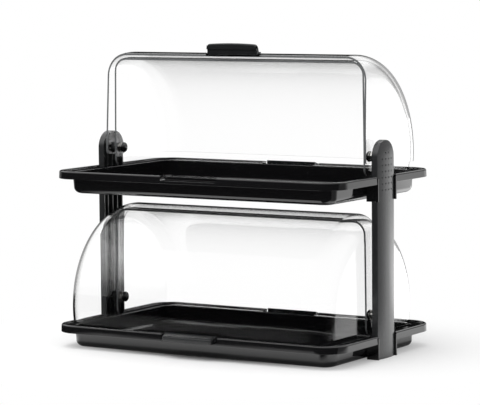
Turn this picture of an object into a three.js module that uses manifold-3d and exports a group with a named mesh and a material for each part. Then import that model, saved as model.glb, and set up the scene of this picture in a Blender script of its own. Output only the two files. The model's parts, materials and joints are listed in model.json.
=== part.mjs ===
// Two-tier roll-top display case: two black trays held one above the other between two side posts,
// each tray covered by a clear front shell and a clear rear shell that share one pivot line.
// Millimetres. +X is the case's right, +Y its back, +Z up. The origin is on the floor, under the middle.
// The upper front shell is rolled back over the rear one; the lower front shell is closed.
import * as THREE from "three";
import { mergeVertices } from "three/addons/utils/BufferGeometryUtils.js";
import Module from "manifold-3d";

const wasm = await Module();
wasm.setup();

// Tray
const TRAY_WIDTH = 440;
const TRAY_DEPTH = 271.5;
const TRAY_WALL = 2.5;
const RIM_TOP = 31; // over the tray's flat bottom, as every height of a tier
const RIM_HEIGHT = 10.5;
const RIM_CORNER = 33;
const RIM_ROUND = 1.2;
const LIP_WIDTH = 5;
const LEDGE_DROP = 2.5; // the ledge on which the shells stand, below the lip
const BASIN_CORNER = 20;
const BASIN_ROUND = 9;

// Tiers and pivots
const PIVOT_OVER_RIM = 23.5;
const TIER_CLEARANCE = 21.3; // from the lower shells' roof up to the upper tray

// Shells
const SHELL_WALL = 2.5;
const DRAFT_SHARE = 0.012; // the side walls lean in towards the roof
const FRONT_CLEARANCE = 4.05; // from the rim's front face in to the front shell
const FRONT_CORNER = 30;
const NEST_CLEARANCE = 4.7; // between the front shell and the rear shell inside it
const NEST_SIDE_CLEARANCE = 4.5; // the same between their side walls
const REAR_CORNER = 18;
const FRONT_OVERLAP = 8.8; // how far the closed front shell runs behind the pivot line
const REAR_OVERLAP = 14.5; // how far the rear shell runs in front of it
const FRONT_HEEL = 6; // rounding of the side walls' free corner
const REAR_HEEL = 11;
const OPEN_ANGLE = 92.5; // degrees, from closed to rolled back

// Handle seats in the front and back rims
const NOTCH_WIDTH = 86;
const NOTCH_DROP = 6.5;
const NOTCH_ROUND = 3;
const NOTCH_PLAY = 0.105; // from the notch's inner wall to the rear shell's tab
const TAB_PLAY = 2.5; // on either side of the tab in the notch
const TAB_LAP = 4; // how far the front tab laps up the shell's wall
const STOP_WALL = 4; // the rear tab's upstand is thick enough to stop the front shell's edge

// Handles
const HANDLE_STEP = 0.5; // the handle is this much narrower than the tab on either side
const HANDLE_DRAFT = 3.5;
const HANDLE_REACH = 13.4;
const HANDLE_HEIGHT = 11.5;
const HANDLE_CLEARANCE = 0.4; // below the notch floor the handle clears the rim's face
const HANDLE_ROUND = 3;
const HANDLE_FACE = 6; // height of its upright face
const HANDLE_TOP = 3.9; // depth of its flat top
const HANDLE_SINK = 0.5; // its bottom edge hangs this far under the rim
const HANDLE_EDGE = 1;

// Posts
const POST_PROUD = 0.5; // past the side of the tray
const POST_THICKNESS = 11;
const POST_HALF = 22.5;
const POST_CROWN = 2.5; // how far the outer face falls off at its edges
const POST_CROWN_RUN = 9;
const POST_SKIN = 2.7;
const POST_WALL = 2.2;
const RIB_WALL = 1.8;
const RIB_PITCH = 11.25;
const RIBS = 3;
const BOSS_RADIUS = 8;

// Saddles, the sockets that carry the trays on the posts
const SADDLE_WALL = 2.5;
const SADDLE_PROUD = 0.7; // past the side of the tray
const SADDLE_DEPTH = 6.5; // from the basin's side wall to the post
const SADDLE_DROP = 1.8; // the upper saddles reach this far under their tray
const SADDLE_BOLT_HEIGHT = 14;
const BOLT_RADIUS = 2.2;
const BOLT_HEAD_RADIUS = 4.5;
const BOLT_HEAD = 2.8;

// Pivot hardware
const SPINDLE_RADIUS = 3;
const KNOB_RADIUS = 7;
const KNOB_DEPTH = 4.4;
const KNOB_ROUND = 1.6;
const SPACER_RADIUS = 8;
const WASHER_RADIUS = 6.5;
const CAP_WASHER = 1;

// Fits and facets
const GAP = 0.3;
const RUNNING = 0.3; // between a spindle and what turns on it
const PAST = 5; // how far a cutting shape runs past what it cuts
const SMALL_SIDES = 12;
const SHELL_SIDES = 48;
const ARC_STEPS = 4;
const CORNER_STEPS = 5;

// Places that follow from these, across the case
const POST_OUTER = TRAY_WIDTH / 2 + POST_PROUD;
const POST_INNER = POST_OUTER - POST_THICKNESS;
const SADDLE_OUTER = TRAY_WIDTH / 2 + SADDLE_PROUD;
const BASIN_INSET = SADDLE_DEPTH + POST_THICKNESS - POST_PROUD;
const FRONT_HALF = TRAY_WIDTH / 2 - BASIN_INSET; // the shell's sides stand over the basin's walls
const REAR_HALF = FRONT_HALF - SHELL_WALL - NEST_SIDE_CLEARANCE;

// Up the case and through its depth
const PIVOT_HEIGHT = RIM_TOP + PIVOT_OVER_RIM;
const PIVOT_OVER_LEDGE = PIVOT_OVER_RIM + LEDGE_DROP;
const LEDGE_TOP = RIM_TOP - LEDGE_DROP;
const FRONT_RADIUS = TRAY_DEPTH / 2 - FRONT_CLEARANCE;
const REAR_RADIUS = FRONT_RADIUS - SHELL_WALL - NEST_CLEARANCE;
const TIER_PITCH = PIVOT_HEIGHT + FRONT_RADIUS + TIER_CLEARANCE;

// At the handles
const NOTCH_FLOOR = RIM_TOP - NOTCH_DROP;
const TAB_ROOT = Math.sqrt(REAR_RADIUS ** 2 - PIVOT_OVER_LEDGE ** 2); // from the pivot line
const NOTCH_REACH = TRAY_DEPTH / 2 - TAB_ROOT + SHELL_WALL + NOTCH_PLAY; // from the rim's face
const TAB_WIDTH = NOTCH_WIDTH - 2 * TAB_PLAY;
const TAB_TOP = PIVOT_OVER_LEDGE - TAB_LAP; // below the pivot line
const HANDLE_WIDTH = TAB_WIDTH - 2 * HANDLE_STEP;

const OPEN_TURN = -THREE.MathUtils.degToRad(OPEN_ANGLE);
const RIGHT_ANGLE = Math.PI / 2;

// Materials
const glossBlack = () =>
  new THREE.MeshStandardMaterial({ color: 0x131415, roughness: 0.12, metalness: 0 });
const satinGrey = () =>
  new THREE.MeshStandardMaterial({ color: 0x2b2c2e, roughness: 0.55, metalness: 0 });
const clearPlastic = () =>
  new THREE.MeshStandardMaterial({
    color: 0xf4f7f8,
    roughness: 0.05,
    metalness: 0,
    transparent: true,
    opacity: 0.25,
  });
const handleBlack = () =>
  new THREE.MeshStandardMaterial({ color: 0x26272a, roughness: 0.4, metalness: 0 });
const steel = () =>
  new THREE.MeshStandardMaterial({ color: 0xb9bdc1, roughness: 0.2, metalness: 1 });

// A closed solid from a geometry, and a named mesh from a solid
function solid(geometry) {
  geometry.deleteAttribute("normal");
  geometry.deleteAttribute("uv");
  const merged = mergeVertices(geometry);
  const triVerts = new Uint32Array(merged.index.array);
  const vertProperties = new Float32Array(merged.attributes.position.array);
  return new wasm.Manifold(new wasm.Mesh({ numProp: 3, vertProperties, triVerts }));
}

function part(name, material, body) {
  const { vertProperties, triVerts, numProp } = body.getMesh();
  const geometry = new THREE.BufferGeometry();
  const position = new Float32Array((vertProperties.length / numProp) * 3);
  for (let i = 0; i < position.length; i += 1) {
    position[i] = vertProperties[Math.floor(i / 3) * numProp + (i % 3)];
  }
  geometry.setAttribute("position", new THREE.BufferAttribute(position, 3));
  geometry.setIndex(new THREE.BufferAttribute(new Uint32Array(triVerts), 1));
  geometry.computeVertexNormals();
  const mesh = new THREE.Mesh(geometry, material);
  mesh.name = name;
  return mesh;
}

// A box between two corners
function box([x0, x1], [y0, y1], [z0, z1]) {
  const geometry = new THREE.BoxGeometry(x1 - x0, y1 - y0, z1 - z0);
  geometry.translate((x0 + x1) / 2, (y0 + y1) / 2, (z0 + z1) / 2);
  return solid(geometry);
}

// A polygon or path drawn in the Y-Z plane and run along X from x0 to x1
function alongX(shape, [x0, x1], bevel = {}) {
  const run = { thickness: 0, size: 0, segments: 0, ...bevel };
  const geometry = new THREE.ExtrudeGeometry(shape, {
    depth: x1 - x0 - 2 * run.thickness,
    curveSegments: ARC_STEPS,
    bevelEnabled: run.thickness > 0,
    bevelThickness: run.thickness,
    bevelSize: run.size,
    bevelOffset: -run.size,
    bevelSegments: run.segments,
  });
  geometry.translate(0, 0, x0 + run.thickness);
  const toX = new THREE.Matrix4().makeBasis(
    new THREE.Vector3(0, 1, 0),
    new THREE.Vector3(0, 0, 1),
    new THREE.Vector3(1, 0, 0),
  );
  geometry.applyMatrix4(toX);
  return solid(geometry);
}

// A profile of [radius, x] pairs turned round the X axis
function turned(profile, sides) {
  const points = profile.map(([radius, x]) => new THREE.Vector2(radius, x));
  const geometry = new THREE.LatheGeometry(points, sides);
  geometry.rotateZ(-RIGHT_ANGLE);
  return solid(geometry);
}

// A ring or disc between two radii, from x0 to x1; inner 0 closes it on the axis
function ring(inner, outer, [x0, x1]) {
  const profile = [
    [inner, x0],
    [outer, x0],
    [outer, x1],
    [inner, x1],
  ];
  if (inner > 0) profile.push([inner, x0]);
  return turned(profile, SMALL_SIDES);
}

// A slab with a rounded-rectangle outline, its bottom edge rounded, and its top edge too if asked
function slab(width, depth, corner, [bottom, top], round = 0, roundTop = false) {
  const [x, y] = [width / 2, depth / 2];
  const outline = new THREE.Shape();
  outline.moveTo(x - corner, -y);
  outline.absarc(x - corner, corner - y, corner, -RIGHT_ANGLE, 0);
  outline.absarc(x - corner, y - corner, corner, 0, RIGHT_ANGLE);
  outline.absarc(corner - x, y - corner, corner, RIGHT_ANGLE, Math.PI);
  outline.absarc(corner - x, corner - y, corner, Math.PI, Math.PI + RIGHT_ANGLE);
  const over = round > 0 && !roundTop ? round + PAST : 0;
  const geometry = new THREE.ExtrudeGeometry(outline, {
    depth: top + over - bottom - 2 * round,
    curveSegments: CORNER_STEPS,
    bevelEnabled: round > 0,
    bevelThickness: round,
    bevelSize: round,
    bevelOffset: -round,
    bevelSegments: round > RIM_ROUND ? ARC_STEPS - 1 : 1,
  });
  geometry.translate(0, 0, bottom + round);
  const block = solid(geometry);
  if (over === 0) return block;
  return block.intersect(box([-width, width], [-depth, depth], [bottom - PAST, top]));
}

// The tray's sunken part, or the hollow inside it when drawn in by a margin
function basin(margin, [bottom, top]) {
  return slab(
    TRAY_WIDTH - 2 * (BASIN_INSET + margin),
    TRAY_DEPTH - 2 * (BASIN_INSET + margin),
    BASIN_CORNER - margin,
    [bottom, top],
    BASIN_ROUND - margin,
  );
}

function trayBody() {
  const ledgeUnder = LEDGE_TOP - TRAY_WALL;
  const rimBottom = RIM_TOP - RIM_HEIGHT;
  const rim = slab(TRAY_WIDTH, TRAY_DEPTH, RIM_CORNER, [rimBottom, RIM_TOP], RIM_ROUND, true);
  const skirt = slab(
    TRAY_WIDTH - 2 * TRAY_WALL,
    TRAY_DEPTH - 2 * TRAY_WALL,
    RIM_CORNER - TRAY_WALL,
    [rimBottom - PAST, ledgeUnder],
  );
  const recess = slab(
    TRAY_WIDTH - 2 * LIP_WIDTH,
    TRAY_DEPTH - 2 * LIP_WIDTH,
    RIM_CORNER - LIP_WIDTH,
    [LEDGE_TOP, RIM_TOP + PAST],
  );
  let body = rim.subtract(skirt).subtract(recess).add(basin(0, [0, LEDGE_TOP]));
  const seat = notchShape();
  const face = TRAY_DEPTH / 2;
  const padHalf = NOTCH_WIDTH / 2 + TRAY_WALL;
  const padInner = face - NOTCH_REACH - TRAY_WALL;
  const padZ = [NOTCH_FLOOR - TRAY_WALL, LEDGE_TOP];
  for (const [near, far] of [
    [padInner, face - GAP],
    [GAP - face, -padInner],
  ]) {
    body = body.add(box([-padHalf, padHalf], [near, far], padZ));
  }
  for (const y of [face - NOTCH_REACH, -face - PAST]) {
    body = body.subtract(seat.translate([0, y, 0]));
  }
  body = body.subtract(basin(TRAY_WALL, [TRAY_WALL, RIM_TOP + PAST]));
  const socket = POST_HALF + SADDLE_WALL + 2 * GAP;
  const edge = POST_INNER - 2 * GAP;
  const reach = TRAY_WIDTH / 2 + PAST;
  for (const span of [
    [edge, reach],
    [-reach, -edge],
  ]) {
    body = body.subtract(box(span, [-socket, socket], [-PAST, RIM_TOP + PAST]));
  }
  return body;
}

// The handle's seat: a trough with rounded bottom corners, starting at y = 0
function notchShape() {
  const half = NOTCH_WIDTH / 2;
  const top = RIM_TOP + PAST;
  const outline = new THREE.Shape();
  outline.moveTo(-half, top);
  outline.lineTo(-half, NOTCH_FLOOR + NOTCH_ROUND);
  outline.absarc(
    NOTCH_ROUND - half,
    NOTCH_FLOOR + NOTCH_ROUND,
    NOTCH_ROUND,
    Math.PI,
    Math.PI + RIGHT_ANGLE,
  );
  outline.absarc(half - NOTCH_ROUND, NOTCH_FLOOR + NOTCH_ROUND, NOTCH_ROUND, -RIGHT_ANGLE, 0);
  outline.lineTo(half, top);
  const geometry = new THREE.ExtrudeGeometry(outline, {
    depth: NOTCH_REACH + PAST,
    curveSegments: 2,
    bevelEnabled: false,
  });
  geometry.rotateX(RIGHT_ANGLE);
  geometry.translate(0, NOTCH_REACH + PAST, 0);
  return solid(geometry);
}

// Right-hand saddle: a socket for the post that also carries the tray's ledge
function saddleBody(bottom) {
  const inner = TRAY_WIDTH / 2 - BASIN_INSET + GAP;
  const half = POST_HALF + GAP + SADDLE_WALL;
  const face = POST_INNER - GAP;
  const channel = POST_HALF + GAP;
  const bolt = ring(0, BOLT_RADIUS + GAP, [inner, POST_OUTER]);
  const seat = ring(0, BOLT_HEAD_RADIUS + GAP, [inner - PAST, boltHeadEnd() + GAP]);
  return box([inner, face], [-half, half], [bottom, LEDGE_TOP - TRAY_WALL - GAP])
    .add(box([face - GAP, SADDLE_OUTER], [-half, half], [bottom, LEDGE_TOP]))
    .subtract(box([face, SADDLE_OUTER + PAST], [-channel, channel], [bottom - PAST, RIM_TOP]))
    .subtract(bolt.add(seat).translate([0, 0, SADDLE_BOLT_HEIGHT]));
}

function boltHeadEnd() {
  return TRAY_WIDTH / 2 - BASIN_INSET + 2 * GAP + BOLT_HEAD;
}

// Bolt from the saddle into the post's boss
function boltBody() {
  const headEnd = boltHeadEnd();
  const tip = POST_OUTER - POST_SKIN - PAST / 2;
  return turned(
    [
      [0, headEnd - BOLT_HEAD],
      [BOLT_HEAD_RADIUS, headEnd - BOLT_HEAD],
      [BOLT_HEAD_RADIUS, headEnd],
      [BOLT_RADIUS, headEnd],
      [BOLT_RADIUS, tip],
      [0, tip],
    ],
    SMALL_SIDES,
  );
}

// Upright with a round head, drawn in the Y-Z plane
function uprightShape(half, bottom, headCentre) {
  const outline = new THREE.Shape();
  outline.moveTo(-half, bottom);
  outline.lineTo(half, bottom);
  outline.lineTo(half, headCentre);
  outline.absarc(0, headCentre, half, 0, Math.PI);
  return outline;
}

// Right-hand post: a crowned outer skin over a channel that opens inwards, with three ribs
function postBody() {
  const headCentre = PIVOT_HEIGHT + TIER_PITCH;
  const crown = { thickness: POST_CROWN, size: POST_CROWN_RUN, segments: 2 };
  const outerShape = uprightShape(POST_HALF, 0, headCentre);
  const tall = headCentre + 2 * POST_HALF;
  let body = alongX(outerShape, [POST_INNER - 2 * POST_CROWN, POST_OUTER], crown).intersect(
    box([POST_INNER, POST_OUTER + PAST], [-2 * POST_HALF, 2 * POST_HALF], [-PAST, tall]),
  );
  const hollow = uprightShape(POST_HALF - POST_WALL, POST_WALL, headCentre);
  const depth = [POST_INNER - PAST, POST_OUTER - POST_SKIN];
  let pockets = alongX(hollow, depth);
  for (let i = 0; i < RIBS; i += 1) {
    const y = (i - (RIBS - 1) / 2) * RIB_PITCH;
    pockets = pockets.subtract(
      box([POST_INNER - 2 * PAST, POST_OUTER], [y - RIB_WALL / 2, y + RIB_WALL / 2], [-PAST, tall]),
    );
  }
  body = body.subtract(pockets);
  const bossSpan = [POST_INNER, POST_OUTER - POST_SKIN + GAP];
  const boltHole = BOLT_RADIUS + GAP;
  const spindleHole = SPINDLE_RADIUS + GAP;
  for (const base of [0, TIER_PITCH]) {
    for (const [height, hole] of [
      [base + PIVOT_HEIGHT, spindleHole],
      [base + SADDLE_BOLT_HEIGHT, boltHole],
    ]) {
      body = body
        .add(ring(0, BOSS_RADIUS, bossSpan).translate([0, 0, height]))
        .subtract(
          ring(0, hole, [POST_INNER - PAST, POST_OUTER - POST_SKIN]).translate([0, 0, height]),
        );
    }
  }
  return body;
}

// Barrel of clear sheet round the pivot line, closed by flat side walls with a spindle hole each
function barrel(radius, half, corner) {
  const inner = corner - SHELL_WALL;
  const hole = SPINDLE_RADIUS + RUNNING;
  const centre = [radius - corner, half - DRAFT_SHARE * (radius - corner) - corner];
  const arc = (size, side) =>
    Array.from({ length: ARC_STEPS + 1 }, (_, i) => {
      const turn = (i / ARC_STEPS) * RIGHT_ANGLE;
      const out = side > 0 ? turn : RIGHT_ANGLE - turn;
      return [centre[0] + size * Math.cos(out), side * (centre[1] + size * Math.sin(out))];
    });
  const profile = [
    [hole, -half],
    ...arc(corner, -1),
    ...arc(corner, 1),
    [hole, half],
    [hole, half - SHELL_WALL],
    ...arc(inner, 1).reverse(),
    ...arc(inner, -1).reverse(),
    [hole, SHELL_WALL - half],
    [hole, -half],
  ];
  return turned(profile, SHELL_SIDES);
}

// What is kept of a front barrel: ahead of overlap, above the ledge, with its heel rounded
function keepShape(overlap, heel) {
  const floor = GAP - PIVOT_OVER_LEDGE;
  const far = FRONT_RADIUS + PAST;
  const outline = new THREE.Shape();
  outline.moveTo(-far, floor);
  outline.lineTo(overlap - heel, floor);
  outline.absarc(overlap - heel, floor + heel, heel, -RIGHT_ANGLE, 0);
  outline.lineTo(overlap, far);
  outline.lineTo(-far, far);
  return outline;
}

// How far the tab in the handle's seat reaches out from the pivot line
function tabReach() {
  return TRAY_DEPTH / 2 - LIP_WIDTH + SHELL_WALL + GAP;
}

function tabBottom() {
  return NOTCH_FLOOR - PIVOT_HEIGHT + GAP;
}

// Front shell, closed, about its pivot line
function frontShellBody() {
  const keep = alongX(keepShape(FRONT_OVERLAP, FRONT_HEEL), [-FRONT_HALF - PAST, FRONT_HALF + PAST]);
  const half = TAB_WIDTH / 2;
  const far = tabReach();
  const near = Math.sqrt((FRONT_RADIUS - SHELL_WALL) ** 2 - TAB_TOP ** 2);
  return barrel(FRONT_RADIUS, FRONT_HALF, FRONT_CORNER)
    .intersect(keep)
    .add(box([-half, half], [-far, -near], [tabBottom(), -TAB_TOP]));
}

// Top of the rear tab's upstand, just under the trailing edge of the rolled-back front shell
function stopHeight() {
  const edge = Math.sqrt(FRONT_RADIUS ** 2 - FRONT_OVERLAP ** 2);
  return FRONT_OVERLAP * Math.sin(OPEN_TURN) + edge * Math.cos(OPEN_TURN) - GAP;
}

// Rear shell, closed, with the stepped tab that carries its handle; drawn facing front, then turned
function rearShellBody() {
  const keep = alongX(keepShape(REAR_OVERLAP, REAR_HEEL), [-REAR_HALF - PAST, REAR_HALF + PAST]);
  const half = TAB_WIDTH / 2;
  const far = tabReach();
  const bottom = tabBottom();
  const rootNear = TAB_ROOT - SHELL_WALL;
  const floorTop = bottom + SHELL_WALL;
  return barrel(REAR_RADIUS, REAR_HALF, REAR_CORNER)
    .intersect(keep)
    .add(box([-half, half], [-far, -rootNear], [bottom, floorTop]))
    .add(box([-half, half], [-TAB_ROOT, -rootNear], [bottom, SHELL_WALL - PIVOT_OVER_LEDGE]))
    .add(box([-half, half], [-far, STOP_WALL - far], [bottom, stopHeight()]));
}

// Handle of a closed front shell, about the pivot line
function handleBody() {
  const near = tabReach() + GAP;
  const far = near + HANDLE_REACH;
  const foot = TRAY_DEPTH / 2 + HANDLE_CLEARANCE;
  const bottom = RIM_TOP - RIM_HEIGHT - HANDLE_SINK - PIVOT_HEIGHT;
  const step = NOTCH_FLOOR - PIVOT_HEIGHT + GAP;
  const top = bottom + HANDLE_HEIGHT;
  const outline = new THREE.Shape();
  outline.moveTo(-near, top);
  outline.lineTo(-near - HANDLE_TOP, top);
  outline.lineTo(-far, bottom + HANDLE_FACE);
  outline.lineTo(-far, bottom + HANDLE_ROUND);
  outline.absarc(
    HANDLE_ROUND - far,
    bottom + HANDLE_ROUND,
    HANDLE_ROUND,
    Math.PI,
    Math.PI + RIGHT_ANGLE,
  );
  outline.lineTo(-foot, bottom);
  outline.lineTo(-foot, step);
  outline.lineTo(-near, step);
  const half = HANDLE_WIDTH / 2;
  const edge = { thickness: HANDLE_EDGE, size: HANDLE_EDGE, segments: 2 };
  const bar = alongX(outline, [-half, half], edge);
  const plan = new THREE.Shape();
  const tip = half - HANDLE_DRAFT;
  plan.moveTo(-half, -near);
  plan.lineTo(-tip, -far - GAP);
  plan.lineTo(tip, -far - GAP);
  plan.lineTo(half, -near);
  const trim = new THREE.ExtrudeGeometry(plan, { depth: 2 * PIVOT_HEIGHT, bevelEnabled: false });
  trim.translate(0, 0, -PIVOT_HEIGHT);
  return bar.intersect(solid(trim));
}

// Pivot hardware on the right-hand side, outwards from the knob to the post
const OUTER_FACE = FRONT_HALF + GAP;
const MIDDLE = [REAR_HALF + GAP, FRONT_HALF - SHELL_WALL - GAP];
const CAP_END = REAR_HALF - SHELL_WALL - GAP;
const KNOB_FACE = CAP_END - CAP_WASHER - GAP;

function spacerBody() {
  return ring(SPINDLE_RADIUS + RUNNING, SPACER_RADIUS, [OUTER_FACE, POST_INNER - GAP]);
}

function middleWasherBody() {
  return ring(SPINDLE_RADIUS + RUNNING, WASHER_RADIUS, MIDDLE);
}

function capWasherBody() {
  return ring(SPINDLE_RADIUS + RUNNING, WASHER_RADIUS, [CAP_END - CAP_WASHER, CAP_END]);
}

// Knob and spindle in one piece; the spindle's end stands in the post's boss
function knobBody() {
  const front = KNOB_FACE - KNOB_DEPTH;
  const tip = POST_OUTER - POST_SKIN - GAP;
  return turned(
    [
      [0, front],
      [KNOB_RADIUS - KNOB_ROUND, front],
      [KNOB_RADIUS, front + KNOB_ROUND],
      [KNOB_RADIUS, KNOB_FACE],
      [SPINDLE_RADIUS, KNOB_FACE],
      [SPINDLE_RADIUS, tip],
      [0, tip],
    ],
    SMALL_SIDES,
  );
}

// Assembly
const displayCase = new THREE.Group();

for (const [side, turn] of [
  ["right", 0],
  ["left", Math.PI],
]) {
  const post = part(`${side}_post`, satinGrey(), postBody());
  post.rotation.z = turn;
  displayCase.add(post);
}

for (const [tier, base, openTurn, saddleBottom] of [
  ["lower", 0, 0, 0],
  ["upper", TIER_PITCH, OPEN_TURN, -SADDLE_DROP],
]) {
  const level = new THREE.Group();
  level.position.z = base;
  level.add(part(`${tier}_tray`, glossBlack(), trayBody()));

  const pivot = new THREE.Group();
  pivot.position.z = PIVOT_HEIGHT;
  level.add(pivot);

  for (const [side, turn] of [
    ["right", 0],
    ["left", Math.PI],
  ]) {
    const wing = new THREE.Group();
    wing.rotation.z = turn;
    const bolt = part(`${tier}_${side}_post_bolt`, steel(), boltBody());
    bolt.position.z = SADDLE_BOLT_HEIGHT;
    wing.add(part(`${tier}_${side}_saddle`, glossBlack(), saddleBody(saddleBottom)), bolt);
    level.add(wing);
    const hub = new THREE.Group();
    hub.rotation.z = turn;
    hub.add(
      part(`${tier}_${side}_spacer`, satinGrey(), spacerBody()),
      part(`${tier}_${side}_middle_washer`, steel(), middleWasherBody()),
      part(`${tier}_${side}_cap_washer`, steel(), capWasherBody()),
      part(`${tier}_${side}_pivot_knob`, handleBlack(), knobBody()),
    );
    pivot.add(hub);
  }

  const front = new THREE.Group();
  front.rotation.x = openTurn;
  front.add(
    part(`${tier}_front_shell`, clearPlastic(), frontShellBody()),
    part(`${tier}_front_handle`, handleBlack(), handleBody()),
  );
  const rear = new THREE.Group();
  rear.rotation.z = Math.PI;
  rear.add(
    part(`${tier}_rear_shell`, clearPlastic(), rearShellBody()),
    part(`${tier}_rear_handle`, handleBlack(), handleBody()),
  );
  pivot.add(front, rear);
  displayCase.add(level);
}

export default displayCase;
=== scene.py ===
# %% [markdown]
# A two-tier roll-top display case: two glossy black trays, one above the other between two posts, each
# under a clear front shell and a clear rear shell that share one pivot line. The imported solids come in
# as a fixed frame. Every piece made here lies in that same frame: +X is the case's right, +Y its back,
# +Z up, with the origin on the table under the middle of the case. Sizes of the case are written in
# millimetres and turned to metres once, when a mesh is made.

# %% Load the frame
import json
import math

import bmesh
import bpy
from mathutils import Matrix, Vector


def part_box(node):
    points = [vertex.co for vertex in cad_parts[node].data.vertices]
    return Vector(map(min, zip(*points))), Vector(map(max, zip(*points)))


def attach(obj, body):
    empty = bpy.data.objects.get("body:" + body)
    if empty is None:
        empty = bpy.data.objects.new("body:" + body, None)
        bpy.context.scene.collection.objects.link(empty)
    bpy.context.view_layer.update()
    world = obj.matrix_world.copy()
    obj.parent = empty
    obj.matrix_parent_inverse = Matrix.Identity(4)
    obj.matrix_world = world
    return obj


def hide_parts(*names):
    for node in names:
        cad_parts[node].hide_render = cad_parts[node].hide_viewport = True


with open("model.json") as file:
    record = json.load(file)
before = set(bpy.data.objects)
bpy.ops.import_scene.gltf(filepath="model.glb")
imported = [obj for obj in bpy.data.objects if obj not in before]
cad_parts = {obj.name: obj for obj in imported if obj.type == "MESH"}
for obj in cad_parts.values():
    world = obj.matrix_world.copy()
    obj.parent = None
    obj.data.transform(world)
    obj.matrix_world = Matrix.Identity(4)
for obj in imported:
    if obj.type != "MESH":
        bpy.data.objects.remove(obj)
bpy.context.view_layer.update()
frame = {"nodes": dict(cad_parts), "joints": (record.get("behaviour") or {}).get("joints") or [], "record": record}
scene = bpy.context.scene
MM = 0.001
record = frame["record"]
BODY_OF = {node: body for body, nodes in record["behaviour"]["bodies"].items() for node in nodes}
print("nodes in the frame:", len(frame["nodes"]))

# %% [markdown]
# The photograph was taken from the front right with a long lens. Its camera was found by solving for
# forty points on the rims, posts and shells: a place, a direction, a small roll and a focal length in
# pixels of a picture 480 wide. Blender wants that length in millimetres of a 36 mm sensor.

# %% Camera
CAMERA_PLACE = Vector((1750.6, -2842.9, 513.4)) * MM
CAMERA_AZIMUTH = math.radians(31.679)
CAMERA_DOWN = math.radians(5.470)
CAMERA_ROLL = math.radians(0.478)
LENS_PIXELS = 2500.8
PICTURE_WIDTH = 480
SENSOR_WIDTH = 36
FARTHEST_SEEN = 100

camera_data = bpy.data.cameras.new("camera")
camera_data.sensor_width = SENSOR_WIDTH
camera_data.lens = LENS_PIXELS / PICTURE_WIDTH * SENSOR_WIDTH
camera_data.clip_end = FARTHEST_SEEN
camera = bpy.data.objects.new("camera", camera_data)
scene.collection.objects.link(camera)
looking = Vector((
    -math.sin(CAMERA_AZIMUTH) * math.cos(CAMERA_DOWN),
    math.cos(CAMERA_AZIMUTH) * math.cos(CAMERA_DOWN),
    -math.sin(CAMERA_DOWN),
))
turn = looking.to_track_quat("-Z", "Y").to_matrix() @ Matrix.Rotation(-CAMERA_ROLL, 3, "Z")
camera.matrix_world = Matrix.Translation(CAMERA_PLACE) @ turn.to_4x4()
scene.camera = camera
scene.view_settings.view_transform = "Standard"
print("lens, mm:", round(camera_data.lens, 1))

# %% [markdown]
# Materials and geometry trees are built from nodes. One function adds a node with its settings and
# links, and another turns an sRGB hex colour into the linear numbers that shaders want. Sums are made
# by Math nodes, whose settings get short names here, because so many of them follow.

# %% Colours and nodes
PLUS = {"operation": "ADD"}
MINUS = {"operation": "SUBTRACT"}
TIMES = {"operation": "MULTIPLY"}
OVER = {"operation": "DIVIDE"}
LARGER = {"operation": "MAXIMUM"}
SMALLER = {"operation": "MINIMUM"}
UNSIGNED = {"operation": "ABSOLUTE"}
LENGTH = {"operation": "LENGTH"}


def linear(code):
    """An sRGB hex colour as linear red, green, blue and 1."""
    shares = [int(code[i : i + 2], 16) / 255 for i in (0, 2, 4)]
    return (*(s / 12.92 if s <= 0.04045 else ((s + 0.055) / 1.055) ** 2.4 for s in shares), 1)


def add(tree, kind, settings=None, **sockets):
    """A new node. A socket is given by name, or as i and its number. It takes a value, an output, or
    another node, whose first output is meant, and a list links several of them to one socket."""
    node = tree.nodes.new(kind)
    for key, value in (settings or {}).items():
        setattr(node, key, value)
    for key, value in sockets.items():
        numbered = key[0] == "i" and key[1:].isdigit()
        socket = node.inputs[int(key[1:])] if numbered else node.inputs[key.replace("_", " ")]
        sources = value if isinstance(value, list) else [value]
        for source in sources:
            if isinstance(source, bpy.types.Node):
                source = source.outputs[0]
            if isinstance(source, bpy.types.NodeSocket):
                tree.links.new(source, socket)
            else:
                socket.default_value = source
    return node


def new_material(name):
    """An empty material and its node tree."""
    material = bpy.data.materials.new(name)
    material.use_nodes = True
    material.node_tree.nodes.clear()
    return material, material.node_tree


print("a mid grey, made linear:", round(linear("808080")[0], 3))

# %% [markdown]
# The trays and saddles are injection-moulded ABS from a polished mould: deep black with a wet gloss.
# The eye reads it from reflections alone, so the base is almost black and the roughness low. Flow in
# the mould leaves a very shallow waviness some centimetres long, and wiping leaves a haze of finer
# marks. Modelling either would take a very dense mesh, so noise on the normal and on the roughness
# gives both.

# %% Gloss black ABS
ABS_INDEX = 1.54
FLOW_LENGTH = 35
FLOW_HEIGHT = 0.2
WIPE_LENGTH = 9


def gloss_black_abs(name):
    """Black ABS from a polished mould."""
    material, tree = new_material(name)
    place = add(tree, "ShaderNodeTexCoord").outputs["Object"]
    flow = add(tree, "ShaderNodeTexNoise", Vector=place, Scale=1 / (FLOW_LENGTH * MM), Detail=2.0)
    wipe = add(tree, "ShaderNodeTexNoise", Vector=place, Scale=1 / (WIPE_LENGTH * MM), Detail=5.0)
    rough = add(tree, "ShaderNodeMapRange", Value=wipe, To_Min=0.03, To_Max=0.08)
    bump = add(tree, "ShaderNodeBump", Height=flow, Strength=0.1, Distance=FLOW_HEIGHT * MM)
    shader = add(
        tree, "ShaderNodeBsdfPrincipled", Base_Color=linear("131314"), IOR=ABS_INDEX,
        Roughness=rough, Normal=bump,
    )
    add(tree, "ShaderNodeOutputMaterial", Surface=shader)
    return material


BLACK_GLOSS = gloss_black_abs("gloss_black_abs_moulded")
print("finish:", BLACK_GLOSS.name)

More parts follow.
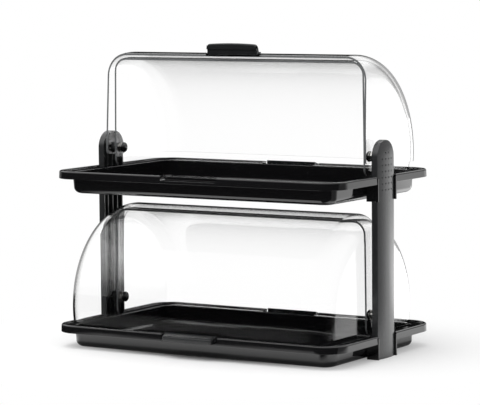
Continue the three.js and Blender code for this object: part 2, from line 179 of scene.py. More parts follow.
# %% [markdown]
# Posts, spacers, handles and knobs are the same plastic from a spark-eroded mould, which leaves a fine
# even grain and a satin sheen. The real grain is about 0.05 mm; it is drawn at 0.4 mm, because a finer
# one would fall between the pixels of the picture. Noise on the normal and on the roughness makes it.
# The posts are a shade paler than the handles, and the knobs are polished.

# %% Satin ABS
GRAIN_WIDTH = 0.4
GRAIN_HEIGHT = 0.08
CLOUD_WIDTH = 25


def satin_abs(name, dark, pale, smoothest, roughest, shine=0.5):
    """Black ABS with a fine grain; its tone wanders a little between two colours."""
    material, tree = new_material(name)
    place = add(tree, "ShaderNodeTexCoord").outputs["Object"]
    grain = add(tree, "ShaderNodeTexNoise", Vector=place, Scale=1 / (GRAIN_WIDTH * MM), Detail=3.0)
    cloud = add(tree, "ShaderNodeTexNoise", Vector=place, Scale=1 / (CLOUD_WIDTH * MM), Detail=4.0)
    tone = add(tree, "ShaderNodeMix", {"data_type": "RGBA"}, i0=cloud, i6=linear(dark), i7=linear(pale))
    rough = add(tree, "ShaderNodeMapRange", Value=grain, To_Min=smoothest, To_Max=roughest)
    bump = add(tree, "ShaderNodeBump", Height=grain, Strength=0.35, Distance=GRAIN_HEIGHT * MM)
    shader = add(
        tree, "ShaderNodeBsdfPrincipled", Base_Color=tone.outputs[2], IOR=ABS_INDEX,
        Roughness=rough, Normal=bump, Specular_IOR_Level=shine,
    )
    add(tree, "ShaderNodeOutputMaterial", Surface=shader)
    return material


POST_BLACK = satin_abs(
    "satin_black_abs_posts", dark="2b2c2d", pale="313233", smoothest=0.22, roughest=0.3)
HANDLE_BLACK = satin_abs(
    "satin_black_abs_handles", dark="1a1b1c", pale="202122", smoothest=0.24, roughest=0.32, shine=0.3)
KNOB_BLACK = satin_abs(
    "polished_black_abs_knobs", dark="0e0e0f", pale="141415", smoothest=0.1, roughest=0.16)
print("finishes:", POST_BLACK.name, HANDLE_BLACK.name, KNOB_BLACK.name)

# %% [markdown]
# The shells are clear moulded polycarbonate, 2.5 mm thick, as bright as window glass. A thin sheet
# could be one surface with a fake index, but light bends as it enters and again as it leaves, and the
# eye knows it by that. So each wall has a real thickness and the shader only needs the right index. A
# hard coat against scratches takes down the reflection seen straight on and leaves the one seen at a
# slant: that is the specular tint. Shadow rays pass through a plain transparent shader instead, because
# a pane hardly dims what lies behind it.
# The narrow cut edge of a pane is another matter: it is sawn and only flame-polished, so half of its
# light is scattered, and the eye sees a grey line round each pane.

# %% Clear polycarbonate
POLYCARBONATE_INDEX = 1.585
MOULD_WAVE_LENGTH = 60
MOULD_WAVE_HEIGHT = 0.5


def clear_polycarbonate(name, tint, shadow, roughness, clearness):
    """A clear sheet, or where the clearness is less than 1, its frosted cut edge."""
    material, tree = new_material(name)
    place = add(tree, "ShaderNodeTexCoord").outputs["Object"]
    wave = add(tree, "ShaderNodeTexNoise", Vector=place, Scale=1 / (MOULD_WAVE_LENGTH * MM), Detail=1.0)
    bump = add(tree, "ShaderNodeBump", Height=wave, Strength=0.05, Distance=MOULD_WAVE_HEIGHT * MM)
    shader = add(
        tree, "ShaderNodeBsdfPrincipled", Base_Color=linear(tint), IOR=POLYCARBONATE_INDEX,
        Roughness=roughness, Transmission_Weight=clearness, Specular_Tint=linear("080808"),
        Normal=bump,
    )
    clear = add(tree, "ShaderNodeBsdfTransparent", Color=linear(shadow))
    path = add(tree, "ShaderNodeLightPath")
    mix = add(tree, "ShaderNodeMixShader", i0=path.outputs["Is Shadow Ray"], i1=shader, i2=clear)
    add(tree, "ShaderNodeOutputMaterial", Surface=mix)
    return material


CLEAR = clear_polycarbonate(
    "clear_polycarbonate_shells", tint="ffffff", shadow="f8f9f9", roughness=0.0, clearness=1.0)
EDGE = clear_polycarbonate(
    "clear_polycarbonate_cut_edges", tint="8e9091", shadow="c4c6c6", roughness=0.12, clearness=0.5)
print("finishes:", CLEAR.name, EDGE.name)

# %% [markdown]
# The washers between the shells and the bolts that hold the posts are bright nickel-plated steel,
# turned on a lathe and then tumbled: mirror-like, with a slightly uneven polish. So little of it shows
# that its marks are only a noise on the roughness.

# %% Nickel-plated steel
TUMBLE_MARK = 1.2


def plated_steel(name):
    """Bright steel with faint marks of tumbling."""
    material, tree = new_material(name)
    place = add(tree, "ShaderNodeTexCoord").outputs["Object"]
    marks = add(tree, "ShaderNodeTexNoise", Vector=place, Scale=1 / (TUMBLE_MARK * MM), Detail=3.0)
    rough = add(tree, "ShaderNodeMapRange", Value=marks, To_Min=0.12, To_Max=0.3)
    shader = add(
        tree, "ShaderNodeBsdfPrincipled", Base_Color=linear("c9c8c4"), Metallic=1.0, Roughness=rough,
    )
    add(tree, "ShaderNodeOutputMaterial", Surface=shader)
    return material


STEEL = plated_steel("nickel_plated_steel_turned")
print("finish:", STEEL.name)

# %% [markdown]
# Most pieces are mouldings whose sections change from place to place, so they are lofted: a skin runs
# through loops of equally many points. A primitive cube or cylinder would need as many edits by hand,
# while a loop of points can be written as a rule. Round stretches of an outline are arcs.

# %% Skins from outlines
MERGE_DISTANCE = 0.001


def piece_from(name, skin):
    """An object from a bmesh drawn in millimetres."""
    bmesh.ops.remove_doubles(skin, verts=skin.verts, dist=MERGE_DISTANCE)
    bmesh.ops.recalc_face_normals(skin, faces=skin.faces)
    bmesh.ops.scale(skin, vec=(MM, MM, MM), verts=skin.verts)
    mesh = bpy.data.meshes.new(name)
    skin.to_mesh(mesh)
    skin.free()
    piece = bpy.data.objects.new(name, mesh)
    scene.collection.objects.link(piece)
    return piece


def loft(name, loops):
    """A closed skin through loops of equally many points, with a flat cap on the first and last."""
    skin = bmesh.new()
    rows = [[skin.verts.new(point) for point in loop] for loop in loops]
    for low, high in zip(rows, rows[1:]):
        for i, start in enumerate(low):
            j = (i + 1) % len(low)
            skin.faces.new((start, low[j], high[j], high[i]))
    skin.faces.new(reversed(rows[0]))
    skin.faces.new(rows[-1])
    return piece_from(name, skin)


def prism(name, outline, axis, start, end):
    """A block with an outline of points in the other two axes, run along the axis."""
    place = {
        "X": lambda a, b, t: (t, a, b),
        "Y": lambda a, b, t: (a, t, b),
        "Z": lambda a, b, t: (a, b, t),
    }[axis]
    return loft(name, [[place(a, b, t) for a, b in outline] for t in (start, end)])


def block(name, x, y, z):
    """A block between two corners, as a raw shape for cutting and joining."""
    return prism(name, [(x[0], y[0]), (x[1], y[0]), (x[1], y[1]), (x[0], y[1])], "Z", *z)


def arc(centre, radius, start, end, steps):
    """Points round a centre, from one angle in degrees to another."""
    turns = [math.radians(start + (end - start) * i / steps) for i in range(steps + 1)]
    return [(centre[0] + radius * math.cos(t), centre[1] + radius * math.sin(t)) for t in turns]


print("a quarter circle in 8 steps has", len(arc((0, 0), 1, 0, 90, 8)), "points")

# %% [markdown]
# Notches, gates and tabs are cut out of a skin or joined to it by booleans, as a mould maker adds and
# takes away steel. The exact solver is slower than the fast one and copes with faces that touch. Each
# boolean uses up the second piece, and its material comes along with its faces.

# %% Cutting and joining
SOLVER = "EXACT"


def baked(piece):
    """The piece with its modifiers turned into plain mesh."""
    graph = bpy.context.evaluated_depsgraph_get()
    shape = bpy.data.meshes.new_from_object(piece.evaluated_get(graph))
    piece.modifiers.clear()
    piece.data = shape
    return piece


def combine(piece, other, how):
    """A union, difference or intersection with another piece."""
    step = piece.modifiers.new("combine", "BOOLEAN")
    step.operation = how
    step.solver = SOLVER
    step.material_mode = "TRANSFER"
    step.object = other
    baked(piece)
    bpy.data.objects.remove(other)
    return piece


def painted(piece, material):
    """The piece with one material on all its faces."""
    piece.data.materials.clear()
    piece.data.materials.append(material)
    piece.data.polygons.foreach_set("material_index", [0] * len(piece.data.polygons))
    return piece


print("boolean solver:", SOLVER)

# %% [markdown]
# A moulded edge is never knife-sharp: it always catches a line of light. So the last step on a moulding is a small
# bevel on the edges that turn by more than a given angle. A sheet or a turned piece has its edges already and only
# marks them sharp. Then the piece takes the place of its node in the frame: it rides the same body.

# %% Handing a piece over
EDGE_STEPS = 3
MOULDED_TURN = 40
TURNED_TURN = 30
SHEET_TURN = 20


def hand_over(piece, node, sharp, edge=0):
    """Smooths the piece up to a turn in degrees, rounds sharper edges if asked, and hands it over."""
    piece.data.shade_smooth()
    if edge:
        step = piece.modifiers.new("rounded_edges", "BEVEL")
        step.width = edge * MM
        step.segments = EDGE_STEPS
        step.limit_method = "ANGLE"
        step.angle_limit = math.radians(sharp)
        step.use_clamp_overlap = False
    else:
        piece.data.set_sharp_from_angle(angle=math.radians(sharp))
    step = piece.modifiers.new("even_shading", "WEIGHTED_NORMAL")
    step.keep_sharp = True
    baked(piece)
    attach(piece, BODY_OF[node])
    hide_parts(node)
    print(node, "faces:", len(piece.data.polygons))


# %% [markdown]
# The main sizes come from the frame: the tray's box gives its width, depth and height, the hinges give
# the pivot lines, and the post's box its place. What a box can't tell, such as a wall or a rounding,
# is written as a size of its own, here or where it is first needed.

# %% Sizes
low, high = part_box("lower_tray")
TRAY_WIDTH, TRAY_DEPTH, RIM_TOP = [size / MM for size in high - low]
HINGES = {joint["child"]: joint["pos_m"][2] / MM for joint in frame["joints"]}
PIVOT = {"lower": HINGES["lower_lid"], "upper": HINGES["upper_lid"]}
TRAY_BASE = {tier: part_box(f"{tier}_tray")[0].z / MM for tier in PIVOT}
PIVOT_HEIGHT = PIVOT["lower"] - TRAY_BASE["lower"]
POST_BOX = [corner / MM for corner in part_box("right_post")]
WALL = 2.5
GAP = 0.3
PAST = 5
SIDES = {"right": 0, "left": math.pi}
print("tray, mm:", round(TRAY_WIDTH, 1), round(TRAY_DEPTH, 1), round(RIM_TOP, 1), "pivots:", PIVOT)

# %% [markdown]
# A tray is one moulding: a deep basin, a ledge on which the shells stand, a raised lip and a skirt that
# turns down outside. It could be carved out of a block by booleans; a loft from rounded rectangles is
# lighter. A corner gets tighter as its rectangle is pushed in, and the rim's and the basin's corners
# have centres of their own.

# %% Tray outline
RIM_CORNER = 33
BASIN_INSET = 17
BASIN_CORNER = 20
CORNER_STEPS = 14


def tray_corner(inset):
    """The corner radius at an inset: the basin's corners and the rim's have centres of their own."""
    return BASIN_CORNER + BASIN_INSET - inset if inset >= BASIN_INSET else RIM_CORNER - inset


def rounded_rectangle(inset, corner, height):
    """The tray's outline pushed in by an inset, with round corners, at a height."""
    x, y = TRAY_WIDTH / 2 - inset, TRAY_DEPTH / 2 - inset
    centres = [(x - corner, corner - y), (x - corner, y - corner),
               (corner - x, y - corner), (corner - x, corner - y)]
    points = []
    for quarter, centre in enumerate(centres):
        start = 90 * (quarter - 1)
        points += arc(centre, corner, start, start + 90, CORNER_STEPS)
    return [(a, b, height) for a, b in points]


print("points round a tray:", len(rounded_rectangle(0, RIM_CORNER, RIM_TOP)))

# %% [markdown]
# The rectangles all follow one path: up the outside of the basin, round the rim and down the inside.
# Every wall leans a few degrees, so that the tray leaves its mould, and every edge is round. The lean
# matters to the eye, because a leaning mirror shows another part of the room.

# %% Tray skin
RIM_HEIGHT = 10.5
RIM_LEAN = 0.35
RIM_ROUND = 2.2
SKIRT_ROUND = 0.5
SKIRT_CHAMFER = 0.4
LIP_WIDTH = 5
LIP_ROUND = 1.2
LIP_FOOT = 1
LIP_FOOT_ROUND = 0.6
LEDGE_DROP = 2.5
LEDGE_ROUND = 1
BASIN_ROUND = 9
BASIN_LEAN = 1.2
BASIN_STEPS = 9
RIM_STEPS = 5
LIP_STEPS = 4
FOOT_STEPS = 3


def tray_path():
    """Insets from the tray's outline and heights, from under the floor round the rim to the floor."""
    ledge = RIM_TOP - LEDGE_DROP
    skirt = RIM_TOP - RIM_HEIGHT
    foot = BASIN_INSET + BASIN_LEAN + BASIN_ROUND
    inner = BASIN_INSET + WALL
    inner_round = BASIN_ROUND - WALL
    floor_edge = (inner + BASIN_LEAN + inner_round, WALL + inner_round)
    return (
        arc((foot, BASIN_ROUND), BASIN_ROUND, -90, -180, BASIN_STEPS)
        + [(BASIN_INSET, ledge - WALL), (WALL, ledge - WALL)]
        + [(WALL, skirt + SKIRT_CHAMFER), (WALL - SKIRT_ROUND, skirt)]
        + arc((SKIRT_ROUND, skirt + SKIRT_ROUND), SKIRT_ROUND, -90, -180, FOOT_STEPS)
        + arc((RIM_LEAN + RIM_ROUND, RIM_TOP - RIM_ROUND), RIM_ROUND, 180, 90, RIM_STEPS)
        + arc((LIP_WIDTH - LIP_ROUND, RIM_TOP - LIP_ROUND), LIP_ROUND, 90, 0, LIP_STEPS)
        + arc((LIP_WIDTH + LIP_FOOT, ledge + LIP_FOOT_ROUND), LIP_FOOT_ROUND, 180, 270, FOOT_STEPS)
        + arc((inner - LEDGE_ROUND, ledge - LEDGE_ROUND), LEDGE_ROUND, 90, 0, LIP_STEPS)
        + arc(floor_edge, inner_round, 180, 270, BASIN_STEPS)
    )


def tray_skin(name):
    """The whole moulding before its rim is cut."""
    return loft(name, [rounded_rectangle(i, tray_corner(i), height) for i, height in tray_path()])


print("rectangles from foot to floor:", len(tray_path()))

# %% [markdown]
# The rim opens at the front and back for the handles: a trough with rounded lower corners, closed
# behind by a pad as thick as the walls. At both ends the rim makes room for a post and its saddle.
# These are straight cuts across the moulding, so booleans make them.

# %% Trays
NOTCH_WIDTH = 86
NOTCH_DROP = 6.5
NOTCH_ROUND = 3
NOTCH_REACH = 16.6
NOTCH_STEPS = 8
NOTCH_FLOOR = RIM_TOP - NOTCH_DROP
SADDLE_HALF = 25.6
TRAY_EDGE = 0.35


def notch_outline():
    """A trough, open at the top."""
    half = NOTCH_WIDTH / 2
    height = NOTCH_FLOOR + NOTCH_ROUND
    left = arc((NOTCH_ROUND - half, height), NOTCH_ROUND, 180, 270, NOTCH_STEPS)
    right = arc((half - NOTCH_ROUND, height), NOTCH_ROUND, 270, 360, NOTCH_STEPS)
    return left + right + [(half, RIM_TOP + PAST), (-half, RIM_TOP + PAST)]


def cut_notch(piece, way):
    """Joins the pad at the front or the back, then cuts the trough through rim and pad."""
    face = TRAY_DEPTH / 2
    inside = face - NOTCH_REACH
    half = NOTCH_WIDTH / 2 + WALL
    pad = sorted((way * (inside - WALL), way * (face - RIM_LEAN - GAP)))
    combine(piece, block("pad", (-half, half), pad, (NOTCH_FLOOR - WALL, RIM_TOP - LEDGE_DROP)), "UNION")
    reach = sorted((way * inside, way * (face + PAST)))
    combine(piece, prism("notch", notch_outline(), "Y", *reach), "DIFFERENCE")


def cut_gate(piece, way):
    """Opens the rim at one end for the post and the saddle."""
    reach = sorted((way * (POST_BOX[0].x - 2 * GAP), way * (TRAY_WIDTH / 2 + PAST)))
    gate = block("gate", reach, (-SADDLE_HALF, SADDLE_HALF), (-PAST, RIM_TOP + PAST))
    combine(piece, gate, "DIFFERENCE")


for tier in PIVOT:
    piece = tray_skin(f"{tier}_tray_moulding")
    for cut in (cut_notch, cut_gate):
        for way in (-1, 1):
            cut(piece, way)
    painted(piece, BLACK_GLOSS).data.transform(Matrix.Translation((0, 0, TRAY_BASE[tier] * MM)))
    hand_over(piece, f"{tier}_tray", MOULDED_TURN, TRAY_EDGE)

# %% [markdown]
# What follows a rule or repeats is left to Geometry Nodes. A tree takes its sizes as named inputs, so
# that two shells or two posts can share one. These helpers serve every tree: one makes it with its
# inputs, one turns its result into real mesh with a material, and one runs it on a piece. A modifier
# knows an input by the identifier of its socket, not by its name.

# %% Geometry trees
SOCKET_KINDS = {int: "NodeSocketInt", float: "NodeSocketFloat"}


def new_tree(name, sizes):
    """A geometry tree that may start from a mesh, with a named input for each size, and the
    identifiers of those inputs."""
    tree = bpy.data.node_groups.new(name, "GeometryNodeTree")
    tree.interface.new_socket("Geometry", in_out="INPUT", socket_type="NodeSocketGeometry")
    tree.interface.new_socket("Geometry", in_out="OUTPUT", socket_type="NodeSocketGeometry")
    sockets = {}
    for size, value in sizes.items():
        socket = tree.interface.new_socket(size, in_out="INPUT", socket_type=SOCKET_KINDS[type(value)])
        sockets[size] = socket.identifier
    return tree, sockets


def finish_tree(tree, shape, material):
    """Makes the tree's result real mesh with one material."""
    whole = add(tree, "GeometryNodeRealizeInstances", Geometry=shape)
    dressed = add(tree, "GeometryNodeSetMaterial", Geometry=whole, Material=material)
    add(tree, "NodeGroupOutput", Geometry=dressed)


def run_tree(name, tree, sockets, sizes, start=None):
    """A plain mesh piece from a geometry tree, its inputs set before it is first evaluated."""
    piece = bpy.data.objects.new(name, start or bpy.data.meshes.new(name))
    step = piece.modifiers.new("tree", "NODES")
    step.node_group = tree
    for size, value in sizes.items():
        step[sockets[size]] = value
    scene.collection.objects.link(piece)
    return baked(piece)


print("kinds of input:", *SOCKET_KINDS.values())

# %% [markdown]
# A shell is a barrel of sheet turned round the pivot line: flat side walls that lean in a little, a
# round corner, and the curved roof. Its shape follows a rule: an open profile of four points, with its
# two upper corners filleted, is swept round a circle. Drawn by hand, the front and the rear shells
# would each need their own skin; one tree makes both.

# %% Shell barrel in Geometry Nodes
DRAFT_SHARE = 0.012
SPINDLE_HOLE = 3.3
SHELL_CORNER_STEPS = 16
SHELL_TURNS = 288
FRONT = {"radius": 131.7, "half": 203, "corner": 30, "overlap": 8.8, "heel": 6}
REAR = {"radius": 124.5, "half": 196, "corner": 18, "overlap": 14.5, "heel": 11}


def barrel_tree(sizes):
    """A round barrel of no thickness, its pivot line along Z, open at the spindle holes."""
    tree, sockets = new_tree("shell_barrel", sizes)
    given = add(tree, "NodeGroupInput").outputs
    foot, hole = given["Half Width"], given["Hole"]
    roof = add(tree, "ShaderNodeMath", MINUS, i0=foot, i1=given["Lean"])
    depth = add(tree, "ShaderNodeMath", MINUS, i0=hole, i1=given["Radius"])
    corners = ((depth, foot, 1.0), (0.0, roof, 1.0), (0.0, roof, -1.0), (depth, foot, -1.0))
    points = {}
    for i, (out, half, way) in enumerate(corners, 1):
        along = add(tree, "ShaderNodeMath", TIMES, i0=half, i1=way)
        points[f"Point_{i}"] = add(tree, "ShaderNodeCombineXYZ", X=out, Y=along)
    profile = add(tree, "GeometryNodeCurvePrimitiveQuadrilateral", {"mode": "POINTS"}, **points)
    opened = add(tree, "GeometryNodeSetSplineCyclic", Geometry=profile, Cyclic=False)
    filleted = add(tree, "GeometryNodeFilletCurve", {"mode": "POLY"}, Curve=opened,
                   Count=given["Corner Steps"], Radius=given["Corner"])
    circle = add(tree, "GeometryNodeCurvePrimitiveCircle", Resolution=given["Turns"],
                 Radius=given["Radius"])
    upright = add(tree, "GeometryNodeSetCurveNormal", {"mode": "Z_UP"}, Curve=circle)
    swept = add(tree, "GeometryNodeCurveToMesh", Curve=upright, Profile_Curve=filleted)
    finish_tree(tree, swept, CLEAR)
    return tree, sockets


def barrel_sizes(shell):
    """The tree's inputs for a front or a rear shell."""
    return {
        "Radius": shell["radius"] * MM, "Half Width": shell["half"] * MM,
        "Lean": DRAFT_SHARE * shell["radius"] * MM, "Hole": SPINDLE_HOLE * MM,
        "Corner": shell["corner"] * MM, "Corner Steps": SHELL_CORNER_STEPS, "Turns": SHELL_TURNS,
    }


BARREL_TREE, BARREL_SOCKETS = barrel_tree(barrel_sizes(FRONT))
print("barrel tree:", len(BARREL_TREE.nodes), "nodes; radii, mm:", FRONT["radius"], REAR["radius"])

# %% [markdown]
# The barrel gets its thickness from Solidify, which keeps the wall even round the corners. A boolean
# then keeps the quarter that the real shell has: ahead of its free edge, above the ledge it stands on,
# and with a rounded heel between the two. The cutting shape wears the darker finish of a sawn edge, so
# each cut face comes out with it.

# %% Shell sheets
HEEL_STEPS = 12
LEDGE_BELOW_PIVOT = PIVOT_HEIGHT - RIM_TOP + LEDGE_DROP


def barrel(name, shell):
    """A barrel of sheet about the X axis, its faces pointing outwards."""
    piece = run_tree(name, BARREL_TREE, BARREL_SOCKETS, barrel_sizes(shell))
    skin = bmesh.new()
    skin.from_mesh(piece.data)
    bmesh.ops.rotate(skin, verts=skin.verts, matrix=Matrix.Rotation(math.pi / 2, 3, "Y"))
    bmesh.ops.recalc_face_normals(skin, faces=skin.faces)
    top = max(skin.faces, key=lambda face: face.calc_center_median().z)
    if top.normal.z < 0:
        bmesh.ops.reverse_faces(skin, faces=skin.faces)
    skin.to_mesh(piece.data)
    skin.free()
    step = piece.modifiers.new("sheet", "SOLIDIFY")
    step.thickness = WALL * MM
    step.offset = -1
    step.use_even_offset = True
    return baked(piece)


def keep_outline(shell):
    """In the plane across the pivot line: ahead of the free edge and above the ledge."""
    floor = GAP - LEDGE_BELOW_PIVOT
    far = shell["radius"] + PAST
    over, heel = shell["overlap"], shell["heel"]
    rounding = arc((over - heel, floor + heel), heel, -90, 0, HEEL_STEPS)
    return [(-far, floor)] + rounding + [(over, far), (-far, far)]


def sheet_shell(name, shell):
    """A shell about its pivot line, facing the front."""
    side = shell["half"] + PAST
    keep = prism("keep", keep_outline(shell), "X", -side, side)
    keep.data.materials.append(EDGE)
    return combine(barrel(name, shell), keep, "INTERSECT")


print("the shells stand this far below the pivot line, mm:", round(LEDGE_BELOW_PIVOT - GAP, 1))

# %% [markdown]
# Each shell carries a flat tab in the middle of its lower edge, which drops into the notch in the rim
# and holds the handle. The rear tab runs out over the rim as a small floor and turns up at its end, as
# a stop for the front shell when that is rolled right back. Nothing shows above the rim in the
# photograph, so the stop ends level with the rim. All of this is flat and square, so it is blocks
# joined to the sheet.

# %% Tabs
TAB_HALF = 40.5
TAB_TOP = 22
STOP_WALL = 4
OPEN_ANGLE = math.radians(max(abs(a) for joint in frame["joints"] for a in joint["range_deg"]))
TAB_REACH = TRAY_DEPTH / 2 - LIP_WIDTH + WALL + GAP
TAB_BOTTOM = NOTCH_FLOOR - PIVOT_HEIGHT + GAP


def with_tab(piece, y, z):
    """The shell with a clear block joined to the middle of its edge."""
    tab = block("tab", (-TAB_HALF, TAB_HALF), y, z)
    tab.data.materials.append(CLEAR)
    return combine(piece, tab, "UNION")


def front_shell(name):
    """The outer shell: its tab hangs from the inside of the sheet."""
    root = math.sqrt((FRONT["radius"] - WALL) ** 2 - TAB_TOP**2)
    return with_tab(sheet_shell(name, FRONT), (-TAB_REACH, -root), (TAB_BOTTOM, -TAB_TOP))


def stop_height():
    """Above the pivot line: where the rolled-back shell's edge comes, but never above the rim."""
    radius, over = FRONT["radius"], FRONT["overlap"]
    edge = math.sqrt(radius**2 - over**2)
    rest = edge * math.cos(OPEN_ANGLE) - over * math.sin(OPEN_ANGLE) - GAP
    return min(rest, RIM_TOP - PIVOT_HEIGHT)


def rear_shell(name):
    """The inner shell: a floor out to the stop, a root under the sheet, and the stop."""
    root = math.sqrt(REAR["radius"] ** 2 - LEDGE_BELOW_PIVOT**2)
    near = WALL - root
    piece = with_tab(sheet_shell(name, REAR), (-TAB_REACH, near), (TAB_BOTTOM, TAB_BOTTOM + WALL))
    with_tab(piece, (-root, near), (TAB_BOTTOM, WALL - LEDGE_BELOW_PIVOT))
    return with_tab(piece, (-TAB_REACH, STOP_WALL - TAB_REACH), (TAB_BOTTOM, stop_height()))


print("stop below the pivot line, mm:", round(-stop_height(), 1))

# %% [markdown]
# Front and rear parts are drawn alike, facing the front with the pivot line on the X axis. One
# function gives each its place at rest: rear parts are turned about, and the upper front ones are
# rolled back as far as the hinge goes, as in the photograph.

# %% Shells in place
def about_pivot(tier, part):
    """The place of a front or rear part at rest."""
    if part == "rear":
        spin = Matrix.Rotation(math.pi, 4, "Z")
    elif tier == "upper":
        spin = Matrix.Rotation(-OPEN_ANGLE, 4, "X")
    else:
        spin = Matrix.Identity(4)
    return Matrix.Translation((0, 0, PIVOT[tier] * MM)) @ spin


for tier in PIVOT:
    for part, make in (("front", front_shell), ("rear", rear_shell)):
        shell = make(f"{tier}_{part}_clear_shell")
        shell.data.transform(about_pivot(tier, part))
        hand_over(shell, f"{tier}_{part}_shell", SHEET_TURN)

# %% [markdown]
# A handle is a moulded bar that grips the tab. Its top slopes a little, its front edge is bowed and
# its two front corners are round. A block with its edges bevelled would lack the bow, so it is lofted
# along X: every section is the same outline, pushed in by as much as the bow and the corner ask for at
# that place.

# %% Handle section
HANDLE_HALF = 38.4
HANDLE_NEAR = 129.8
HANDLE_FAR = 144.6
HANDLE_BOW = 1.4
HANDLE_CORNER = 4
HANDLE_TOP = -21.9
HANDLE_SHOULDER = -24.8
HANDLE_BOTTOM = -31.9
SHOULDER_ROUND = 3
SHOULDER_START = 100
BOTTOM_ROUND = 2.2
HANDLE_STEPS = 6
HANDLE_SEAT = 0.15
HANDLE_CLEARANCE = 0.4


def pushed_in(x):
    """How far the front edge of a handle stands back at a place along it."""
    bow = HANDLE_BOW * (x / HANDLE_HALF) ** 2
    past_corner = max(abs(x) - HANDLE_HALF + HANDLE_CORNER, 0)
    return bow + HANDLE_CORNER - math.sqrt(HANDLE_CORNER**2 - past_corner**2)


def handle_section(x):
    """The outline across a handle at a place along it."""
    far = HANDLE_FAR - pushed_in(x)
    foot = TRAY_DEPTH / 2 + HANDLE_CLEARANCE
    seat = TAB_BOTTOM - HANDLE_SEAT
    shoulder = (SHOULDER_ROUND - far, HANDLE_SHOULDER - SHOULDER_ROUND)
    bottom = (BOTTOM_ROUND - far, HANDLE_BOTTOM + BOTTOM_ROUND)
    outline = [(-HANDLE_NEAR, HANDLE_TOP)]
    outline += arc(shoulder, SHOULDER_ROUND, SHOULDER_START, 180, HANDLE_STEPS)
    outline += arc(bottom, BOTTOM_ROUND, 180, 270, HANDLE_STEPS)
    outline += [(-foot, HANDLE_BOTTOM), (-foot, seat), (-HANDLE_NEAR, seat)]
    return [(x, y, z) for y, z in outline]


print("points round a handle's section:", len(handle_section(0)))

# %% [markdown]
# The sections lie close together round the two front corners, where the outline moves in fast, and far
# apart between them, where it only follows the bow. A small bevel takes off the edges that are left.

# %% Handles
HANDLE_CORNER_STEPS = 8
HANDLE_SPANS = 8
HANDLE_EDGE = 0.7


def handle(name):
    """A grip lofted through its sections, from one end to the other."""
    turns = [math.pi / 2 * i / HANDLE_CORNER_STEPS for i in range(HANDLE_CORNER_STEPS + 1)]
    corner = [HANDLE_HALF - HANDLE_CORNER * (1 - math.sin(turn)) for turn in turns]
    middle = [2 * HANDLE_HALF * i / HANDLE_SPANS - HANDLE_HALF for i in range(1, HANDLE_SPANS)]
    places = [-x for x in reversed(corner)] + middle + corner
    return painted(loft(name, [handle_section(x) for x in places]), HANDLE_BLACK)


for tier in PIVOT:
    for part in ("front", "rear"):
        grip = handle(f"{tier}_{part}_grip")
        grip.data.transform(about_pivot(tier, part))
        hand_over(grip, f"{tier}_{part}_handle", MOULDED_TURN, HANDLE_EDGE)

# %% [markdown]
# A post is a tall channel with a round head. Its outer face is crowned like a low arch, which gives
# the soft change of tone across it. The blank is a loft whose outlines shrink towards the middle of
# the face as they rise; the hollow is a second loft, for a boolean to take out.

# %% Post blank
POST_HALF = 22.5
POST_CROWN = 2.5
CROWN_STEPS = 10
POST_SKIN = 4.7
POST_WALL = 2.2
HEAD_STEPS = 40
POST_INNER, POST_OUTER = POST_BOX[0].x, POST_BOX[1].x
HEAD_CENTRE = PIVOT["upper"]


def upright(x, half, bottom):
    """The post's outline at a place along X: straight sides and a round head."""
    head = arc((0, HEAD_CENTRE), half, 0, 180, HEAD_STEPS)
    return [(x, y, z) for y, z in [(-half, bottom), (half, bottom)] + head]


def post_blank(name):
    """The post as a full block with its crowned face."""
    loops = [upright(POST_INNER, POST_HALF, 0)]
    for step in range(CROWN_STEPS):
        share = 1 - step / CROWN_STEPS
        loops.append(upright(POST_OUTER - POST_CROWN * share**2, POST_HALF * share, 0))
    return loft(name, loops)


def post_hollow(name):
    """The room inside the post, open towards the trays."""
    half = POST_HALF - POST_WALL
    return loft(name, [upright(x, half, POST_WALL) for x in (POST_INNER - PAST, POST_OUTER - POST_SKIN)])


print("post, mm:", 2 * POST_HALF, "wide, head centre at", round(HEAD_CENTRE, 1))

# %% [markdown]
# Inside, three ribs stiffen the post: the same thin wall, set on a line of points by Geometry Nodes.
# The ribs end a little way into the skin behind the outer face, so that the join leaves no gap, and
# stay back from the open side.

# %% Ribs in Geometry Nodes
RIBS = 3
RIB_PITCH = 11.25
RIB_WALL = 1.8
RIB_ROOT = 0.8
RIB_SETBACK = 1


def rib_nodes(tree, given):
    """Thin walls side by side, from the open side to just inside the outer face."""
    size = add(tree, "ShaderNodeCombineXYZ", X=given["Rib Deep"], Y=given["Rib Wall"],
               Z=given["Head Centre"])
    rib = add(tree, "GeometryNodeMeshCube", Size=size)
    half = add(tree, "ShaderNodeMath", TIMES, i0=given["Rib Deep"], i1=0.5)
    deep = add(tree, "ShaderNodeMath", MINUS, i0=given["Rib End"], i1=half)
    first = add(tree, "ShaderNodeMath", TIMES, i0=given["Rib Pitch"], i1=-1.0)
    middle = add(tree, "ShaderNodeMath", TIMES, i0=given["Head Centre"], i1=0.5)
    start = add(tree, "ShaderNodeCombineXYZ", X=deep, Y=first, Z=middle)
    pitch = add(tree, "ShaderNodeCombineXYZ", Y=given["Rib Pitch"])
    line = add(tree, "GeometryNodeMeshLine", Count=given["Rib Count"], Start_Location=start, Offset=pitch)
    ribs = add(tree, "GeometryNodeInstanceOnPoints", Points=line, Instance=rib)
    return add(tree, "GeometryNodeRealizeInstances", Geometry=ribs)


print("ribs:", RIBS, "and their pitch, mm:", RIB_PITCH)

# %% [markdown]
# In the post's round head a field of small pits is moulded into the outer face. It reaches from just
# above the pivot line down the head, in four columns. The tree stands a grid of points in the face,
# drops those that would leave the round head by a rule on their distance from its centre, and sets a
# small cone on each of the rest.

